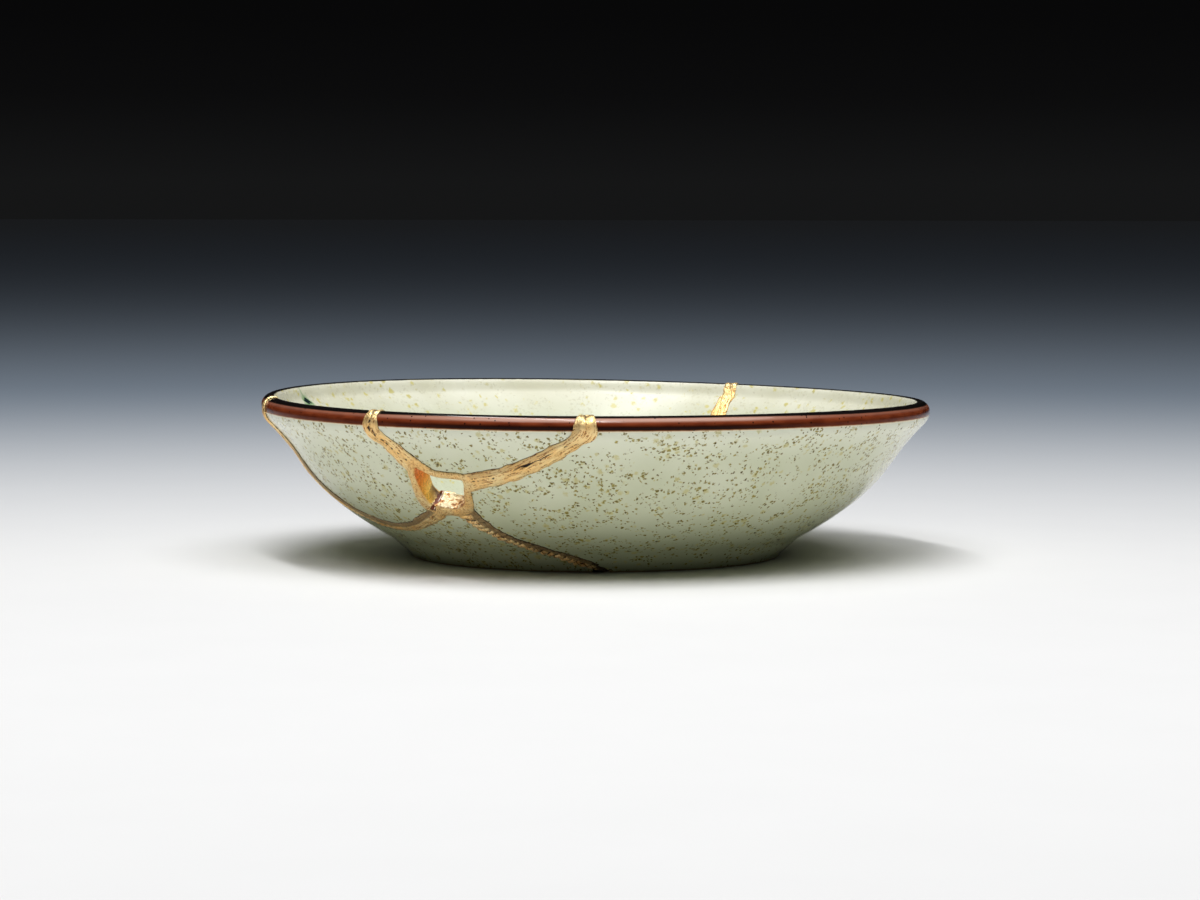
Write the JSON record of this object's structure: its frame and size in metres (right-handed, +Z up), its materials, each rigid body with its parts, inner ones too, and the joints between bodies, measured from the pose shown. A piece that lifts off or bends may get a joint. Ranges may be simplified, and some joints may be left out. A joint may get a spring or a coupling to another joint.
{
  "type": "kintsugi plate",
  "caption": "Small deep dish in pale speckled glaze with a brown lip, mended in gold along its breaks, an open gap left in the wall. It stands on its foot ring and is shown or holds dry food.",
  "frame": {"origin": "on the surface that the plate stands on, under the centre of the foot ring", "axes": "+Z up, -Y to the front, where the mended gap is seen left of the middle, +X to the right"},
  "size_m": [0.16, 0.1607, 0.0393],
  "materials": {
    "celadon_glaze": "glossy pale grey-green glaze over stoneware, ochre iron specks, brown glaze on the lip",
    "gold_lacquer": "pale orange gold powder on raised lacquer, satin, ridged and pitted"
  },
  "bodies": {
    "root": {"shard_front_left": "celadon_glaze", "shard_front_middle": "celadon_glaze", "shard_right": "celadon_glaze", "shard_back_left": "celadon_glaze", "gold_seam": "gold_lacquer"}
  },
  "joints": []
}
